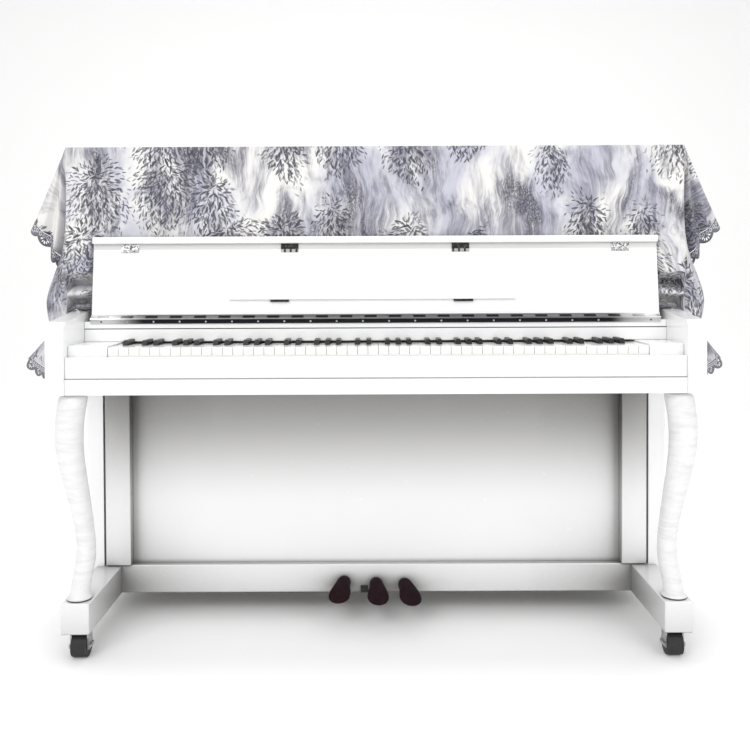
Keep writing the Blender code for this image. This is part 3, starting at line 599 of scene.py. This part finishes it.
def make_printed_cloth():
    """Woven cloth with a made-up print: soft ink washes, streaks and sprays of small leaves."""
    s = Shader("printed_cloth", (0.8, 0.8, 0.82), 0.85)
    flat = s.uv()
    u, v = s.split(flat)[:2]
    # the ground bends gently, so that nothing in the print runs dead straight
    bent = s.join(s.math("MULTIPLY_ADD", s.noise(flat, 6.0, 2.0), 0.09, u),
                  s.math("MULTIPLY_ADD", s.noise(s.place(flat, move=(3, 7, 0)), 5.0, 2.0), 0.10, v))
    wash = s.noise(s.place(bent, (1.3, 0.75, 1)), 4.6, 4.0, 0.6)
    mass = s.noise(s.place(bent, (1.5, 0.7, 1), move=(1.7, 4.4, 0)), 6.0, 5.0, 0.62, 0.5)
    streak = s.noise(s.place(bent, (130, 13, 1), (0, 0, 0.35)), 1.0, 4.0, 0.7, 0.6)
    fine = s.noise(s.place(flat, (260, 150, 1), (0, 0, -0.4)), 1.0, 3.0, 0.75, 0.4)
    tinted = s.mix(s.band(wash, 0.42, 0.62), PAPER, PALE_INK)
    body = s.math("MULTIPLY", s.band(mass, 0.43, 0.57), s.band(streak, 0.26, 0.62))
    tinted = s.mix(s.math("MULTIPLY", body, 0.82), tinted, MID_INK)
    core = s.math("MULTIPLY", s.band(mass, 0.54, 0.66), s.band(fine, 0.34, 0.56))
    tinted = s.mix(s.math("MULTIPLY", core, 0.85), tinted, DARK_INK)
    for scale, length, width, reach, move in LEAF_LAYERS:
        tinted = leaf_layer(s, tinted, flat, fine, scale, length, width, reach, move)
    s.set("Base Color", tinted)
    s.set("Roughness", s.math("MULTIPLY_ADD", s.noise(flat, 300.0), 0.12, 0.78))
    s.set("Sheen Weight", 0.15)
    s.set("Sheen Roughness", 0.5)
    warp, weft = (s.math("SINE", s.math("MULTIPLY", t, 2 * math.pi / YARN)) for t in (u, v))
    s.bump(s.math("MULTIPLY", warp, weft), 0.35, 0.0002)
    # slubs of the yarn
    s.bump(s.noise(s.place(flat, (30, 600, 1)), 1.0, 2.0), 0.08, 0.0006)
    # a line of stitches along the ends and the front
    end = s.apart(CORNER_X + SIDE_DROP - LACE_W - STITCH_IN, s.math("ABSOLUTE", u))
    front = s.apart(v, FRONT_Y - FRONT_DROP + LACE_W + STITCH_IN)
    stitch = s.math("MAXIMUM", s.band(end, 0.0018, 0.0006), s.band(front, 0.0018, 0.0006))
    s.bump(s.math("SUBTRACT", 1.0, stitch), 0.4, 0.0012)
    return s.material


def make_lace():
    """Dark thread with a row of paler embroidered rings, four to a lobe."""
    s = Shader("lace", (0.2, 0.2, 0.23), 0.9)
    flat = s.uv()
    u, v = s.split(flat)[:2]
    ring_down, ring_r = 0.0065, 0.0036
    along = s.math("SUBTRACT", s.math("PINGPONG", u, SCALLOP / 4), SCALLOP / 8)
    ring = s.length(along, s.math("SUBTRACT", v, ring_down))
    light = s.band(s.apart(ring, ring_r), 0.0015, 0.0008)
    thread = s.noise(s.place(flat, (900, 900, 1)), 1.0, 2.0)
    ground = s.mix(thread, (0.10, 0.10, 0.12), (0.20, 0.20, 0.235))
    s.set("Base Color", s.mix(light, ground, (0.60, 0.60, 0.64)))
    s.set("Roughness", s.math("MULTIPLY_ADD", thread, 0.15, 0.8))
    s.set("Sheen Weight", 0.15)
    s.bump(thread, 0.5, 0.0006)
    s.bump(light, 0.5, 0.0008)
    return s.material


# Cover

def lean_tables(at):
    """The two corner tables read once for a ray."""
    return [[(reach, curve(table, i + 1, at)) for i, reach in enumerate(CORNER_REACH)]
            for table in (CORNER_OUT, CORNER_BACK)]


def lean_of(zone, at, r, end, tables):
    """How far the cloth has moved out and back at the distance r down a column."""
    wing, flare, lower = end[1:]
    if zone == "front" and at < FALL_X:
        return 0.0, -folds(BEHIND_FALLBOARD, r)
    if zone == "front":
        # the folds fade towards the corner, where the cloth bulges past the arm
        fading = 1 - (1 - FOLD_AT_CORNER) * ease(BULGE_X[1], CORNER_X, at)
        slant = lower + ARM_SLANT * (at - FALL_X)
        out = BULGE * ease(*BULGE_X, at) * ease(*BULGE_R, r)
        return out, -fading * folds(OVER_ARM, r - slant)
    if zone == "corner":
        out, back = (curve(table, 1, r) for table in tables)
        out *= 1 + (wing - 1) * ease(46, 90, at)
        out *= 1 + (flare - 1) * ease(0.42, 0.62, r) * (1 - ease(30, 46, at))
        out += BULGE * (1 - ease(0, 6, at)) * ease(*BULGE_R, r)
        slant = lower + ARM_SLANT * (CORNER_X - FALL_X)
        back -= FOLD_AT_CORNER * (1 - ease(0, 10, at)) * folds(OVER_ARM, r - slant)
        return out, back
    if zone == "end":
        return curve(END_RAYS, 1, at) * r * wing, curve(END_RAYS, 2, at) * r
    if zone == "rear":
        # the corner hangs in one round fold
        turn = math.radians(225 + 4 * at)
        out, back = (r * (0.177 + 0.25 * f(turn)) for f in (math.cos, math.sin))
        return out, back + BACK_LEAN * r * at / 90
    return 0.0, BACK_LEAN * r


def hem_length(zone, at, trim=0.0):
    """Length of a column, from the fold line to a line trim inside the outer edge."""
    front, side, back = FRONT_DROP - trim, SIDE_DROP - trim, BACK_DROP - trim
    if zone == "front":
        return front
    if zone == "end":
        return side
    if zone == "back":
        return back
    a = math.radians(at)
    along, across = max(math.cos(a), 1e-6), max(math.sin(a), 1e-6)
    if zone == "corner":
        return min(front / along, side / across)
    return min(side / along, back / across)


def base_of(zone, at):
    """Where a column starts on the fold line."""
    return {"front": (at, FRONT_Y), "corner": (CORNER_X, FRONT_Y), "end": (CORNER_X, FRONT_Y + at),
            "rear": (CORNER_X, REAR_Y), "back": (at, REAR_Y)}[zone]


def flat_place(zone, at, r):
    """Where a point of the drop lies on the cloth spread out flat."""
    x, y = base_of(zone, at)
    a = math.radians(at)
    dx, dy = {"front": (0, -1), "corner": (math.sin(a), -math.cos(a)), "end": (1, 0),
              "rear": (math.cos(a), math.sin(a)), "back": (0, 1)}[zone]
    return x + dx * r, y + dy * r


def hang(zone, at, distances, end):
    """Points of a column at these distances along it, so that it keeps its own length."""
    x0, y0 = base_of(zone, at)
    tables = lean_tables(at) if zone == "corner" else None
    points, z, r = [], TOP_Z, 0.0
    out, back = lean_of(zone, at, 0.0, end, tables)
    for target in distances:
        while r < target - 1e-9:
            d = min(FALL_STEP, target - r)
            r += d
            new_out, new_back = lean_of(zone, at, r, end, tables)
            plan = math.hypot(new_out - out, new_back - back)
            z -= math.sqrt(max(d * d - plan * plan, (LEAST_FALL * d) ** 2))
            out, back = new_out, new_back
        points.append(Vector((end[0] * (x0 + out), y0 + back, z)))
    return points


def spread(a, b, step):
    """Even places from a up to b, without b, about a step apart."""
    count = max(1, round((b - a) / step))
    return [a + (b - a) * k / count for k in range(count)]


# Columns of the front, close over the arm; rows down a column, closer where folds begin
FRONT_X = spread(0.0, 0.66, 0.015) + [0.66, 0.669, 0.678] + spread(0.690, CORNER_X, 0.004)
END_AT = spread(0.0, REAR_Y - FRONT_Y, 0.012)
ROWS = spread(0.0, 0.235, 0.0075) + spread(0.235, 0.9, 0.005)
SAME_ROW = 0.003         # rows closer together than this count as one


def column_plan():
    """Zone and place of every column, middle front to middle back."""
    plan = [("front", x) for x in FRONT_X]
    plan += [("corner", at) for at in spread(0.0, 90.0, 1.0)]
    plan += [("end", y) for y in END_AT]
    plan += [("rear", at) for at in spread(0.0, 90.0, 6.0)]
    plan.append(("back", CORNER_X))
    plan += [("back", x) for x in reversed(FRONT_X)]
    return plan


def strip_faces(a, b):
    """Faces between two columns of (distance, vertex number)."""
    faces, i, j = [], 0, 0
    while i < len(a) - 1 or j < len(b) - 1:
        fa = a[i + 1][0] if i < len(a) - 1 else math.inf
        fb = b[j + 1][0] if j < len(b) - 1 else math.inf
        if abs(fa - fb) < SAME_ROW or (i == len(a) - 2 and j == len(b) - 2):
            corners = [a[i][1], a[i + 1][1], b[j + 1][1], b[j][1]]
            i, j = i + 1, j + 1
        elif fa < fb:
            corners = [a[i][1], a[i + 1][1], b[j][1]]
            i += 1
        else:
            corners = [a[i][1], b[j + 1][1], b[j][1]]
            j += 1
        kept = [v for k, v in enumerate(corners) if v != corners[k - 1]]
        if len(kept) > 2:
            faces.append(kept)
    return faces


def ripple(flat, zone):
    """Soft unevenness of hanging cloth, up to about a millimetre; none on the lid."""
    if zone == "top":
        return 0.0
    wide = noise.noise(Vector((flat[0] * 7.0, flat[1] * 3.0, 2.0)))
    small = noise.noise(Vector((flat[0] * 24.0, flat[1] * 9.0, 5.0)))
    return 0.0012 * wide + 0.0005 * small


def build_cover(material):
    """The sheet, the plan of its columns, and for each column where the lace goes on from."""
    verts, flats, faces, soft = [], [], [], []

    def add(point, flat, zone):
        verts.append(point)
        flats.append(flat)
        soft.append(ripple(flat, zone))
        return len(verts) - 1

    plan = column_plan()
    xs = sorted({side * x for side in (-1, 1) for x in FRONT_X + [CORNER_X]})
    ys = [FRONT_Y + y for y in END_AT] + [REAR_Y]
    top = {(x, y): add(Vector((x, y, TOP_Z)), (x, y), "top") for x in xs for y in ys}
    for x0, x1 in zip(xs, xs[1:]):
        for y0, y1 in zip(ys, ys[1:]):
            faces.append((top[x0, y0], top[x1, y0], top[x1, y1], top[x0, y1]))
    columns, hems = {}, {}
    for end in ENDS:
        side = end[0]
        for index, (zone, at) in enumerate(plan):
            x, y = base_of(zone, at)
            if x == 0 and (index, -1) in columns:
                columns[index, side] = columns[index, -1]
                hems[index, side] = hems[index, -1]
                continue
            length = hem_length(zone, at, LACE_W + SEAM)
            rows = [r for r in ROWS if 0 < r < length - SAME_ROW] + [length]
            points = hang(zone, at, rows, end)
            hems[index, side] = (points[-2], points[-1], hem_length(zone, at, LACE_W) - length,
                                 hem_length(zone, at) - length)
            column = [(0.0, top[side * x, y])]
            for r, point in zip(rows, points):
                fx, fy = flat_place(zone, at, r)
                column.append((r, add(point, (side * fx, fy), zone)))
            columns[index, side] = column
        for index in range(len(plan) - 1):
            new = strip_faces(columns[index, side], columns[index + 1, side])
            faces += new if side < 0 else [f[::-1] for f in new]
    cover = mesh_object("cover_cloth", [v + SHIFT for v in verts], faces, material, uvs=flats)
    bm = bmesh.new()
    bm.from_mesh(cover.data)
    bmesh.ops.recalc_face_normals(bm, faces=bm.faces)
    bm.verts.ensure_lookup_table()
    bm.normal_update()
    for vert, height in zip(bm.verts, soft):
        vert.co += vert.normal * height
    bm.to_mesh(cover.data)
    bm.free()
    solid = cover.modifiers.new("thickness", "SOLIDIFY")
    solid.thickness, solid.offset = CLOTH_T, 0.0
    return cover, plan, hems


def lace_stations(plan, hems):
    """Inner and outer edge of the lace at every column, right round the cover."""
    order = [(-1, i) for i in range(len(plan) - 1, -1, -1)] + [(1, i) for i in range(len(plan))]
    stations = []
    for side, i in order:
        before, hem, cut, full = hems[i, side]
        along = (hem - before).normalized()
        pair = (hem + along * cut, hem + along * full)
        if not stations or (pair[1] - stations[-1][1]).length > 1e-5:
            stations.append(pair)
    if (stations[0][1] - stations[-1][1]).length < 1e-5:
        stations.pop()
    return stations


def lobe_edge(t):
    """Width of the lace at a share of a lobe."""
    return LACE_W - SCALLOP_CUT * (1 - abs(math.sin(math.pi * t)) ** 0.7)


def lobe_loops():
    """Flat outline of one lobe, and the petal-shaped gaps that fan out in it."""
    shares = [t / LOBE_STEPS for t in range(LOBE_STEPS + 1)]
    side = (0.25, 0.5, 0.75)
    outline = [(t * SCALLOP, 0.0) for t in shares]
    outline += [(SCALLOP, lobe_edge(1.0) * f) for f in side]
    outline += [(t * SCALLOP, lobe_edge(t)) for t in reversed(shares)]
    outline += [(0.0, lobe_edge(0.0) * f) for f in reversed(side)]
    centre = Vector((SCALLOP / 2, 0.0095))
    petals = []
    for k in range(-2, 3):
        a = math.radians(33 * k)
        near, far, half = (0.0060, 0.0140, 0.0030) if k == 0 else (0.0065, 0.0140, 0.0018)
        way = Vector((math.sin(a) * 1.15, math.cos(a)))
        across = Vector((way.y, -way.x))
        loop = []
        for j in range(10):
            t = 2 * math.pi * j / 10
            p = centre + way * ((near + far) / 2 - math.cos(t) * (far - near) / 2)
            p += across * (half * math.sin(t) * (1 - 0.35 * math.cos(t)))
            loop.append((p.x, p.y))
        petals.append(loop)
    return outline, petals


def inside(point, loop):
    """Whether a flat point lies in a closed loop."""
    x, y = point
    hit = False
    for (ax, ay), (bx, by) in zip(loop, loop[1:] + loop[:1]):
        if (ay > y) != (by > y) and x < (bx - ax) * (y - ay) / (by - ay) + ax:
            hit = not hit
    return hit


def lobe_pattern():
    """Points and faces of one flat lobe, with its gaps cut out."""
    outline, petals = lobe_loops()
    points, edges = [], []
    for loop in [outline] + petals:
        first = len(points)
        points += [Vector(p) for p in loop]
        edges += [(first + k, first + (k + 1) % len(loop)) for k in range(len(loop))]
    inner = [((u / LOBE_STEPS + 0.035) * SCALLOP, down)
             for u in range(LOBE_STEPS) for down in (0.005, 0.0105)]
    points += [Vector(p) for p in inner if not any(inside(p, loop) for loop in petals)]
    found = delaunay_2d_cdt(points, edges, [], 0, 1e-7)
    pattern = [(p.x, p.y) for p in found[0]]
    kept = []
    for face in found[2]:
        middle = [sum(pattern[k][i] for k in face) / len(face) for i in (0, 1)]
        if inside(middle, outline) and not any(inside(middle, loop) for loop in petals):
            kept.append(face)
    return pattern, kept


def add_cord(line, verts, faces):
    """One raised cord along a scallop."""
    first, last = len(verts), len(line) - 1
    for k, p in enumerate(line):
        ahead = (line[min(k + 1, last)] - line[max(k - 1, 0)]).normalized()
        up = ahead.cross(Vector((0, 0, 1)))
        up = up.normalized() if up.length > 1e-4 else Vector((0, 1, 0))
        aside = ahead.cross(up)
        for j in range(CORD_SIDES):
            a = 2 * math.pi * j / CORD_SIDES
            verts.append(p + (up * math.cos(a) + aside * math.sin(a)) * CORD_R)
    for k in range(last):
        near, far = first + k * CORD_SIDES, first + (k + 1) * CORD_SIDES
        for j in range(CORD_SIDES):
            nxt = (j + 1) % CORD_SIDES
            faces.append([near + j, near + nxt, far + nxt, far + j])


def build_lace(plan, hems, material):
    """The lace strip laid lobe by lobe along the hem, and the raised cord on its scallops."""
    stations = lace_stations(plan, hems)
    runs = [0.0]
    for a, b in zip(stations, stations[1:] + stations[:1]):
        runs.append(runs[-1] + (b[1] - a[1]).length)
    lobes = round(runs[-1] / SCALLOP)
    pitch = runs[-1] / lobes

    def on_strip(run, down):
        run = run % runs[-1]
        i = min(bisect.bisect_right(runs, run) - 1, len(stations) - 1)
        t = (run - runs[i]) / max(runs[i + 1] - runs[i], 1e-9)
        a, b = stations[i], stations[(i + 1) % len(stations)]
        return a[0].lerp(b[0], t).lerp(a[1].lerp(b[1], t), down / LACE_W)

    pattern, kept = lobe_pattern()
    verts, faces, uvs = [], [], []
    for n in range(lobes):
        first = len(verts)
        verts += [on_strip((n + x / SCALLOP) * pitch, y) + SHIFT for x, y in pattern]
        uvs += pattern
        faces += [[first + k for k in face] for face in kept]
    lace = mesh_object("lace_sheet", verts, faces, material, uvs=uvs)
    bm = bmesh.new()
    bm.from_mesh(lace.data)
    bmesh.ops.remove_doubles(bm, verts=bm.verts, dist=2e-5)
    bmesh.ops.recalc_face_normals(bm, faces=bm.faces)
    bm.to_mesh(lace.data)
    bm.free()
    solid = lace.modifiers.new("thickness", "SOLIDIFY")
    solid.thickness, solid.offset = LACE_T, 0.0
    # a little in from the edge, so that the cord covers it
    rim = [(t / LOBE_STEPS, lobe_edge(t / LOBE_STEPS) - 0.0006) for t in range(LOBE_STEPS + 1)]
    cords, cord_faces = [], []
    for n in range(lobes):
        add_cord([on_strip((n + t) * pitch, down) + SHIFT for t, down in rim], cords, cord_faces)
    off_rings = (0.0, 0.05)
    cord = mesh_object("lace_cord", cords, cord_faces, material, uvs=[off_rings] * len(cords))
    return lace, cord


# Piano

def soften(name, width, segments=2):
    """Round the edges of a CAD node."""
    bevel = nodes[name].modifiers.new("soft_edges", "BEVEL")
    bevel.width, bevel.segments = width, segments
    bevel.limit_method, bevel.angle_limit = "ANGLE", math.radians(40)
    bevel.harden_normals = True
    nodes[name].data.shade_smooth()


def dress(names, material):
    """Give CAD nodes a finished material."""
    for name in names:
        nodes[name].data.materials.clear()
        nodes[name].data.materials.append(material)


def smooth_piece(name, node, material, levels=2):
    """A copy of a CAD node, smoothed, that stands for it."""
    mesh = nodes[node].data.copy()
    mesh.materials.clear()
    mesh.materials.append(material)
    piece = bpy.data.objects.new(name, mesh)
    bpy.context.scene.collection.objects.link(piece)
    bm = bmesh.new()
    bm.from_mesh(mesh)
    bmesh.ops.remove_doubles(bm, verts=bm.verts, dist=1e-5)
    bmesh.ops.dissolve_limit(bm, angle_limit=0.002, verts=bm.verts, edges=bm.edges)
    bm.to_mesh(mesh)
    bm.free()
    mesh.shade_smooth()
    sub = piece.modifiers.new("smooth", "SUBSURF")
    sub.levels = sub.render_levels = levels
    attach(piece, "root")
    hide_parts(node)
    return piece


def dress_piano():
    lacquer = make_lacquer()
    wrapped = make_wrapped()
    ivory, ebony, rubber = make_keys(), make_ebony(), make_rubber()
    steel = make_steel()
    spruce, velvet = make_spruce(), make_velvet()
    white = ["lid", "side_left", "side_right", "upper_board", "keybed", "key_slip",
             "key_block_left", "key_block_right", "fallboard_flap", "music_desk"]
    low = ["lower_panel", "bottom_board", "pilaster_left", "pilaster_right", "toe_block_left",
           "toe_block_right"]
    dress(white, lacquer)
    dress(low, make_low_lacquer())
    dress(["hinge_rail"], make_rail())
    dress(["fallboard"], make_fallboard())
    for name in white + low + ["hinge_rail", "fallboard"]:
        soften(name, 0.0012 if name == "music_desk" else 0.002)
    dress(["key_frame", "white_keys"], ivory)
    soften("white_keys", 0.0003, 1)
    # painted shade: a mid-grey strip stands for the shade line along the foot of the key slip
    dress(["slip_strip"], make_lacquer("shaded_strip", (0.40, 0.40, 0.40)))
    dress(["black_keys"], ebony)
    dress(["pedal_stop"], rubber)
    soften("pedal_stop", 0.001)
    soften("black_keys", 0.0012)
    dress(["long_hinge"], make_hinge())
    small = ["flap_hinge_%d" % k for k in range(1, 5)] + ["desk_hinge_left", "desk_hinge_right"]
    corners = [a + b for a in ("front_", "back_") for b in ("left", "right")]
    dress(small, make_small_hinge())
    dress(["caster_" + c for c in corners], steel)
    for name in small + ["caster_" + c for c in corners]:
        soften(name, 0.0006)
    dress(["wheel_" + c for c in corners], rubber)
    for c in corners:
        soften("wheel_" + c, 0.003, 3)
    boards = ["back_post_%d" % k for k in range(1, 5)]
    boards += ["back_beam_low", "back_beam_high", "soundboard"]
    dress(boards, spruce)
    for name in boards:
        soften(name, 0.002)
    for side in ("left", "right"):
        smooth_piece("wrapped_leg_" + side, "leg_" + side, wrapped)
    for place in ("left", "middle", "right"):
        piece = smooth_piece("velvet_sleeve_" + place, "pedal_sleeve_" + place, velvet)


# Stage

def area_light(name, where, aim, size, power):
    data = bpy.data.lights.new(name, "AREA")
    data.shape, data.size, data.size_y = "RECTANGLE", size[0], size[1]
    data.energy = power
    lamp = bpy.data.objects.new(name, data)
    lamp.location = where
    lamp.rotation_mode = "QUATERNION"
    lamp.rotation_quaternion = (Vector(aim) - Vector(where)).to_track_quat("-Z", "Y")
    bpy.context.scene.collection.objects.link(lamp)


def build_stage():
    """Pale floor that curves up into a backdrop, and soft studio light."""
    s = Shader("stage_floor", (0.92, 0.92, 0.92), 0.7)
    s.set("Base Color", s.mix(s.noise(s.coordinates(), 0.6, 2.0), (0.97, 0.97, 0.97),
                              (0.96, 0.96, 0.96)))
    bend_y, bend_r = 3.0, 1.5
    sweep = [(-6.0, 0.0), (bend_y, 0.0)]
    sweep += [(bend_y + bend_r * math.sin(a), bend_r - bend_r * math.cos(a))
              for a in (math.radians(d) for d in range(10, 91, 10))]
    sweep.append((bend_y + bend_r, 7.0))
    verts = [(x, y, z - 0.0005) for y, z in sweep for x in (-9.0, 9.0)]
    faces = [(2 * k, 2 * k + 1, 2 * k + 3, 2 * k + 2) for k in range(len(sweep) - 1)]
    mesh_object("studio_sweep", verts, faces, s.material)
    world = bpy.data.worlds.new("studio")
    bpy.context.scene.world = world
    world.use_nodes = True
    background = world.node_tree.nodes["Background"]
    background.inputs["Color"].default_value = (1.0, 1.0, 1.0, 1.0)
    background.inputs["Strength"].default_value = 0.76
    bpy.context.scene.view_settings.view_transform = "Standard"
    area_light("key", (-1.6, -3.6, 3.2), (0, 0, 0.8), (3.0, 2.0), 66)
    area_light("fill", (2.4, -3.2, 2.2), (0, 0, 0.7), (2.5, 2.5), 30)
    area_light("top", (0.0, 0.6, 4.2), (0, 0.1, 0.9), (4.0, 2.0), 85)


def main():
    make_camera()
    cloth, lace = make_printed_cloth(), make_lace()
    cover, plan, hems = build_cover(cloth)
    lace_piece, lace_cord = build_lace(plan, hems, lace)
    for piece, node, slot in ((cover, "cover", "printed_cloth"),
                              (lace_piece, "lace_edging", "lace"),
                              (lace_cord, "lace_edging", "lace")):
        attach(piece, "root")
        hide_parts(node)
    dress_piano()
    build_stage()


main()
